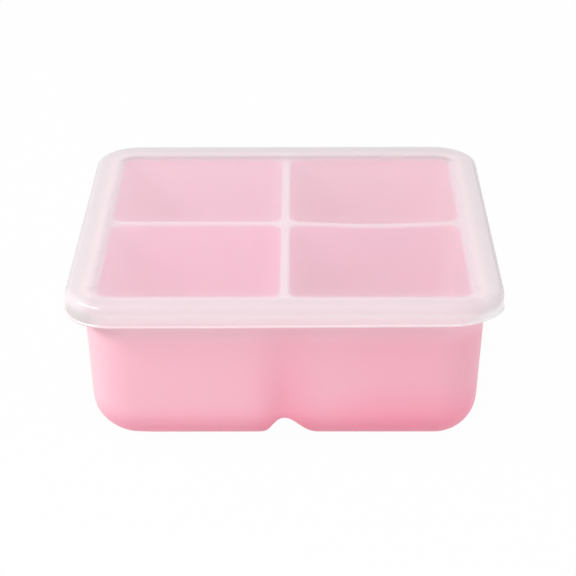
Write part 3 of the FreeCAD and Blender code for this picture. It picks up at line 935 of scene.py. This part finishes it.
# %% The parts of the lid
SKIRT_HEIGHTS, BEAD_HEIGHTS, UNDER_BEAD_HEIGHTS = fade(50.5, 47.5), fade(46.0, 45.7), fade(45.25, 45.1)
STRAIGHT = {"From_Min": 0.5, "From_Max": 0.05}  # of turning, which is 0 along a side
NOT_FRONT = {"From_Min": 0.98, "From_Max": 0.75}  # of facing_front, which is 1 along the front
OFF_FRONT = {"From_Min": 0.3, "From_Max": 0.0}
AT_BACK = {"From_Min": 0.75, "From_Max": 0.97}  # of backward, which is 1 along the back
FRONT_TO_BACK = {"From_Min": -1.0, "From_Max": 1.0}
SHIFT_FRONT, SHIFT_BACK, SHIFT_UNDERNEATH = -4.2 * MM, 1.0 * MM, -3.6 * MM
LOWER_FACE = fade(52.0, 51.5)
BORDER_SPAN, OUTER_SPAN = fade(2.8, 6.8), fade(5.5, 10.0)
EDGE_SPAN, BACK_SPAN = fade(13.0, 14.6), fade(6.8, 9.0)
LEFT_CORNER = fade(-50, -64)

skirt = add(frost, "ShaderNodeMapRange", SOFT, Value=height, **SKIRT_HEIGHTS).outputs[0]
bead = add(frost, "ShaderNodeMapRange", SOFT, Value=height, **BEAD_HEIGHTS).outputs[0]
under_bead = add(frost, "ShaderNodeMapRange", SOFT, Value=height, **UNDER_BEAD_HEIGHTS).outputs[0]
straight = add(frost, "ShaderNodeMapRange", SOFT, Value=turning, **STRAIGHT).outputs[0]
side_on = add(frost, "ShaderNodeMath", TIMES, i0=skirt, i1=straight).outputs[0]
not_front = add(frost, "ShaderNodeMapRange", SOFT, Value=facing_front, **NOT_FRONT).outputs[0]
off_front = add(frost, "ShaderNodeMapRange", SOFT, Value=facing_front, **OFF_FRONT).outputs[0]
at_back = add(frost, "ShaderNodeMapRange", SOFT, Value=backward, **AT_BACK).outputs[0]
at_left = add(frost, "ShaderNodeMapRange", SOFT, Value=across, **LEFT_CORNER).outputs[0]

shift = add(
    frost, "ShaderNodeMapRange", Value=backward, To_Min=SHIFT_FRONT, To_Max=SHIFT_BACK, **FRONT_TO_BACK
).outputs[0]
lower_shift = add(
    frost, "ShaderNodeMapRange", Value=height, To_Max=SHIFT_UNDERNEATH, **LOWER_FACE
).outputs[0]
farther = add(frost, "ShaderNodeMath", TIMES, i0=lower_shift, i1=at_back).outputs[0]
both_shifts = add(frost, "ShaderNodeMath", PLUS, i0=shift, i1=farther).outputs[0]
seen_reach = add(frost, "ShaderNodeMath", PLUS, i0=reach, i1=both_shifts).outputs[0]
border = add(frost, "ShaderNodeMapRange", SOFT, Value=seen_reach, **BORDER_SPAN).outputs[0]
outer = add(frost, "ShaderNodeMapRange", SOFT, Value=seen_reach, **OUTER_SPAN).outputs[0]

past_collar = add(frost, "ShaderNodeMapRange", SOFT, Value=reach, **BACK_SPAN).outputs[0]
turned = add(frost, "ShaderNodeMapRange", SOFT, Value=reach, **EDGE_SPAN).outputs[0]
above_skirt = add(frost, "ShaderNodeMath", LESS, i0=turned, i1=skirt).outputs[0]
turn_line = add(frost, "ShaderNodeMath", TIMES, i0=above_skirt, i1=off_front).outputs[0]
print("masks of the lid:", len(frost.node_tree.nodes), "nodes")

# %% [markdown]
# How much of the light a skin scatters is its cloud. The middle of the plate scatters a third, so
# that the cups show well through both its skins. The border, below which the skirt stands, scatters
# nearly all of it, and so does the bead. A slightly clearer skirt lets the rim show as a soft line.

# %% How cloudy the lid is
CLOUD = 0.32  # the middle of the plate
CLOUD_BORDER, CLOUD_FRONT = 1.0, 0.82  # the border, and where it runs along the front
CLOUD_SKIRT, CLOUD_BEAD = 0.55, 1.0  # the straight sides of the skirt, and the bead
PASSED_SHARE, PASSED_SHARE_BORDER = 0.43, 0.25  # of the scattered light, what goes on downwards

cloud_flat = add(frost, "ShaderNodeMix", i0=not_front, i2=CLOUD_FRONT, i3=CLOUD_BORDER).outputs[0]
cloud_edge = add(frost, "ShaderNodeMix", i0=side_on, i2=cloud_flat, i3=CLOUD_SKIRT).outputs[0]
cloud = add(frost, "ShaderNodeMix", i0=border, i2=CLOUD, i3=cloud_edge).outputs[0]
cloud = add(frost, "ShaderNodeMix", i0=bead, i2=cloud, i3=CLOUD_BEAD).outputs[0]
flat_border = add(frost, "ShaderNodeMath", LESS, i0=border, i1=side_on).outputs[0]
side_border = add(frost, "ShaderNodeMath", TIMES, i0=flat_border, i1=not_front).outputs[0]
passed = add(
    frost, "ShaderNodeMix", i0=side_border, i2=PASSED_SHARE, i3=PASSED_SHARE_BORDER
).outputs[0]
print("cloudy share in the middle:", CLOUD, "and along the border:", CLOUD_BORDER)

# %% [markdown]
# The haze is nearly white. Along the border it is painted a little pink, for the tray that shows
# through it, and a little greyer towards the outside and at the back. Where the sides and the back
# turn down it is painted greyer still, as painted shade, because less light is caught there, and the
# skirt's left corner is painted greyer as painted shade too. The bead is painted pale and fully
# cloudy as a painted highlight, and its underside dark pink as a painted shadow line.

# %% The haze's shades
HAZE = linear("#FBF9FF")  # the middle of the plate
# The border's shades are painted with a little of the tray's pink that shows through the cloud.
HAZE_FRONT = linear("#EEE1E6")  # the border along the front
HAZE_INNER, HAZE_OUTER = linear("#F8E8EC"), linear("#ECE3E6")  # the border along the sides
HAZE_BACK_INNER, HAZE_BACK_OUTER = linear("#EFE3E6"), linear("#E8E0E3")  # and along the back
HAZE_SKIRT = linear("#FFFFFF")  # the straight sides of the skirt
HAZE_CORNER, HAZE_LEFT_CORNER_SHADE = linear("#FFFFFF"), linear("#D8D4D2")  # its corners, right and left; the left one painted greyer, as painted shade
HAZE_TURN_SHADE, HAZE_BACK_TURN_SHADE = linear("#CCC8CA"), linear("#C0BABC")  # painted shade: greyer where sides and back turn down and catch less light
HAZE_BEAD_HIGHLIGHT, HAZE_UNDER_BEAD_SHADOW = linear("#FFE9EE"), linear("#E0B8C2")  # the bead, painted pale as a painted highlight, and its underside, a painted shadow line

haze_border = add(frost, "ShaderNodeMix", RGBA, i0=outer, i6=HAZE_INNER, i7=HAZE_OUTER).outputs[2]
haze_back = add(
    frost, "ShaderNodeMix", RGBA, i0=past_collar, i6=HAZE_BACK_INNER, i7=HAZE_BACK_OUTER
).outputs[2]
haze_border = add(frost, "ShaderNodeMix", RGBA, i0=at_back, i6=haze_border, i7=haze_back).outputs[2]
around = add(frost, "ShaderNodeMix", RGBA, i0=not_front, i6=HAZE_FRONT, i7=haze_border).outputs[2]
corner = add(
    frost, "ShaderNodeMix", RGBA, i0=at_left, i6=HAZE_CORNER, i7=HAZE_LEFT_CORNER_SHADE
).outputs[2]
turn = add(frost, "ShaderNodeMix", RGBA, i0=at_back, i6=HAZE_TURN_SHADE, i7=HAZE_BACK_TURN_SHADE).outputs[2]
haze = HAZE
for mask, shade in (
    (border, around),
    (skirt, corner),
    (side_on, HAZE_SKIRT),
    (turn_line, turn),
    (bead, HAZE_BEAD_HIGHLIGHT),
    (under_bead, HAZE_UNDER_BEAD_SHADOW),
):
    haze = add(frost, "ShaderNodeMix", RGBA, i0=mask, i6=haze, i7=shade).outputs[2]
print("haze", [round(c, 3) for c in HAZE[:3]])

# %% [markdown]
# The skin itself is three shaders: transparent for the light that goes straight through, diffuse
# for what is scattered back and translucent for what is scattered on. The last one is tinted as
# little as the plastic is.

# %% The frosted skin
PASSED_ON = linear("#FEFCFD")
WHITE = (1, 1, 1, 1)

sent_back = add(frost, "ShaderNodeBsdfDiffuse", Color=haze).outputs[0]
passed_on = add(frost, "ShaderNodeBsdfTranslucent", Color=PASSED_ON).outputs[0]
cloudy = add(frost, "ShaderNodeMixShader", i0=passed, i1=sent_back, i2=passed_on).outputs[0]
clear = add(frost, "ShaderNodeBsdfTransparent", Color=WHITE).outputs[0]
plastic = add(frost, "ShaderNodeMixShader", i0=cloud, i1=clear, i2=cloudy).outputs[0]
print("light passed on:", [round(c, 3) for c in PASSED_ON[:3]])

# %% [markdown]
# The gloss is faint where the skin is looked at face on and grows where it is seen at a slant.
# For plastic with an index of refraction of 1.5 it starts from 4 percent, and it grows with the
# fifth power of the slant. A little roughness blurs it, as the etched mould does.

# %% The gloss on the lid
HEAD_ON, FALLOFF = 0.04, 5.0
GLOSS_ROUGHNESS = 0.08

slant = add(frost, "ShaderNodeLayerWeight", Blend=0.5).outputs["Facing"]
steep = add(frost, "ShaderNodeMath", {"operation": "POWER"}, i0=slant, i1=FALLOFF).outputs[0]
mirrored = add(frost, "ShaderNodeMapRange", Value=steep, To_Min=HEAD_ON, To_Max=1.0).outputs[0]
gloss = add(frost, "ShaderNodeBsdfAnisotropic", Color=WHITE, Roughness=GLOSS_ROUGHNESS).outputs[0]
surface = add(frost, "ShaderNodeMixShader", i0=mirrored, i1=plastic, i2=gloss).outputs[0]
add(frost, "ShaderNodeOutputMaterial", Surface=surface)
lid.data.materials.append(frost)
print("frosted plastic nodes:", len(frost.node_tree.nodes))

# %% [markdown]
# ## The studio
#
# The tray stands on a plain white table in soft, even light. Most of it comes from the bright
# room all round. One long soft light stands high on the left, and its reflection runs along the
# lid's edge. A weak one above the front and one low in front keep the front from going dull, and
# one on the right keeps that side from going dark. The lid mirrors only the first of them: the
# others would lie on it as white sheets wherever it is seen at a slant. The table and the room
# show white to the camera, by their own materials and not by more light, and the table keeps a
# faint shadow of the tray.

# %% The table
TABLE_HALF = 3.0  # metres
TABLE_DROP = 0.3 * MM  # it lies a hair below the feet, so that no planes are shared
TABLE_CORNERS = ((-1, -1), (1, -1), (1, 1), (-1, 1))

table_mesh = bpy.data.meshes.new("table_top")
corners = [(TABLE_HALF * x, TABLE_HALF * y, -TABLE_DROP) for x, y in TABLE_CORNERS]
table_mesh.from_pydata(corners, [], [(0, 1, 2, 3)])
table = bpy.data.objects.new("table_top", table_mesh)
bpy.context.scene.collection.objects.link(table)
print("table, m:", [round(d, 1) for d in table.dimensions])

# %% The table's white paper
WHITE_SHARE = 0.98  # how much of what the camera sees is plain white, and the rest takes shadows
PAPER = (0.7, 0.7, 0.7, 1)  # how much light the paper gives back to the tray


def looked_at(material):
    """1 for the rays that show a surface to the camera, straight, mirrored or through glass."""
    path = add(material, "ShaderNodeLightPath").outputs
    seen = path["Is Camera Ray"]
    for kind in ("Is Glossy Ray", "Is Transmission Ray"):
        seen = add(material, "ShaderNodeMath", LARGER, i0=seen, i1=path[kind]).outputs[0]
    return seen


paper = new_material("white_table")
share = add(paper, "ShaderNodeMath", TIMES, i0=looked_at(paper), i1=WHITE_SHARE).outputs[0]
matt = add(paper, "ShaderNodeBsdfDiffuse", Color=PAPER).outputs[0]
glow = add(paper, "ShaderNodeEmission", Color=WHITE, Strength=1.0).outputs[0]
blended = add(paper, "ShaderNodeMixShader", i0=share, i1=matt, i2=glow).outputs[0]
add(paper, "ShaderNodeOutputMaterial", Surface=blended)
table_mesh.materials.append(paper)
print("table nodes:", len(paper.node_tree.nodes))

# %% The bright room
ROOM_LIGHT = 0.65

world = bpy.data.worlds.new("bright_room")
bpy.context.scene.world = world
world.use_nodes = True
world.node_tree.nodes.clear()
lit = add(world, "ShaderNodeBackground", Color=WHITE, Strength=ROOM_LIGHT).outputs[0]
shown = add(world, "ShaderNodeBackground", Color=WHITE, Strength=1.0).outputs[0]
pick = add(world, "ShaderNodeMixShader", i0=looked_at(world), i1=lit, i2=shown).outputs[0]
add(world, "ShaderNodeOutputWorld", Surface=pick)
print("room light:", ROOM_LIGHT)

# %% The lights
AIM = Vector((0, 0, 0.03))  # metres: the middle of the tray


def soft_light(name, place, size, watts, mirrored):
    """A soft light, width by height in metres, that faces the tray."""
    lamp = bpy.data.lights.new(name, "AREA")
    lamp.shape = "RECTANGLE"
    lamp.size, lamp.size_y = size
    lamp.energy = watts
    holder = bpy.data.objects.new(name, lamp)
    bpy.context.scene.collection.objects.link(holder)
    holder.location = place
    holder.rotation_mode = "QUATERNION"
    holder.rotation_quaternion = (AIM - Vector(place)).to_track_quat("-Z", "Y")
    holder.visible_glossy = mirrored
    print("light", name, watts, "W")


soft_light("high_left", (-0.72, -0.37, 0.62), size=(0.85, 0.2), watts=6.3, mirrored=True)
soft_light("high_front", (0, -0.55, 1.15), size=(1.3, 0.3), watts=0.6, mirrored=False)
soft_light("front_fill", (-0.15, -1.15, 0.35), size=(0.9, 0.9), watts=0.5, mirrored=False)
soft_light("right_fill", (0.95, -0.4, 0.3), size=(0.8, 0.8), watts=2.8, mirrored=False)

# %% [markdown]
# The Standard view shows each colour as it was worked out, so that white stays white. A filmic view
# would grey it. Light needs more bounces here than in most scenes, because it goes to and fro
# between the lid and the tray, and because a line of sight crosses the lid's skins many times.

# %% How colours are shown, and how often light may bounce
DIFFUSE_BOUNCES, ALL_BOUNCES = 10, 16
SKIN_CROSSINGS = 24

bpy.context.scene.view_settings.view_transform = "Standard"
bpy.context.scene.cycles.diffuse_bounces = DIFFUSE_BOUNCES
bpy.context.scene.cycles.max_bounces = ALL_BOUNCES
bpy.context.scene.cycles.transparent_max_bounces = SKIN_CROSSINGS
print("view:", bpy.context.scene.view_settings.view_transform)
